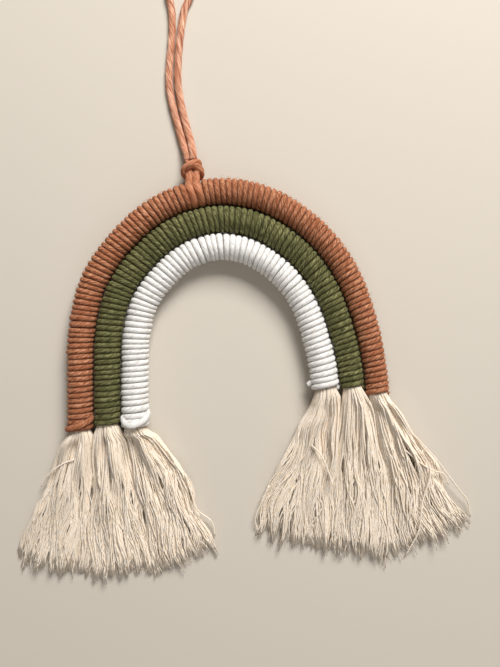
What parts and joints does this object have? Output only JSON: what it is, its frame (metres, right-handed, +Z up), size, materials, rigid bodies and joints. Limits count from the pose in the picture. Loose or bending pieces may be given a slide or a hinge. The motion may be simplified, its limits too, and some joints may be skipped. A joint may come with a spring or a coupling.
{
  "type": "macrame rainbow wall hanging",
  "caption": "Small rainbow ornament of string-wound cotton ropes bent into nested arches, with combed rope-end fringe and a knotted string loop to hang it by.",
  "frame": {"origin": "centre of the ornament's box without the free loop, on the surface that its back lies on", "axes": "+Z up from the back to the front, +Y from the fringe to the crown of the arches, +X across to the viewer's right"},
  "size_m": [0.2251, 0.3084, 0.0144],
  "materials": {
    "terracotta_string": "matt twisted cotton string, dyed terracotta",
    "olive_string": "matt twisted cotton string, dyed olive green",
    "white_string": "matt twisted cotton string, bleached white",
    "natural_cotton": "combed-out undyed cotton yarn"
  },
  "bodies": {
    "root": {"wrap_outer": "terracotta_string", "wrap_middle": "olive_string", "wrap_inner": "white_string", "fringe_left_outer": "natural_cotton", "fringe_left_middle": "natural_cotton", "fringe_left_inner": "natural_cotton", "fringe_right_inner": "natural_cotton", "fringe_right_middle": "natural_cotton", "fringe_right_outer": "natural_cotton", "hanger_knot": "terracotta_string", "hanger_loop": "terracotta_string"}
  },
  "joints": []
}
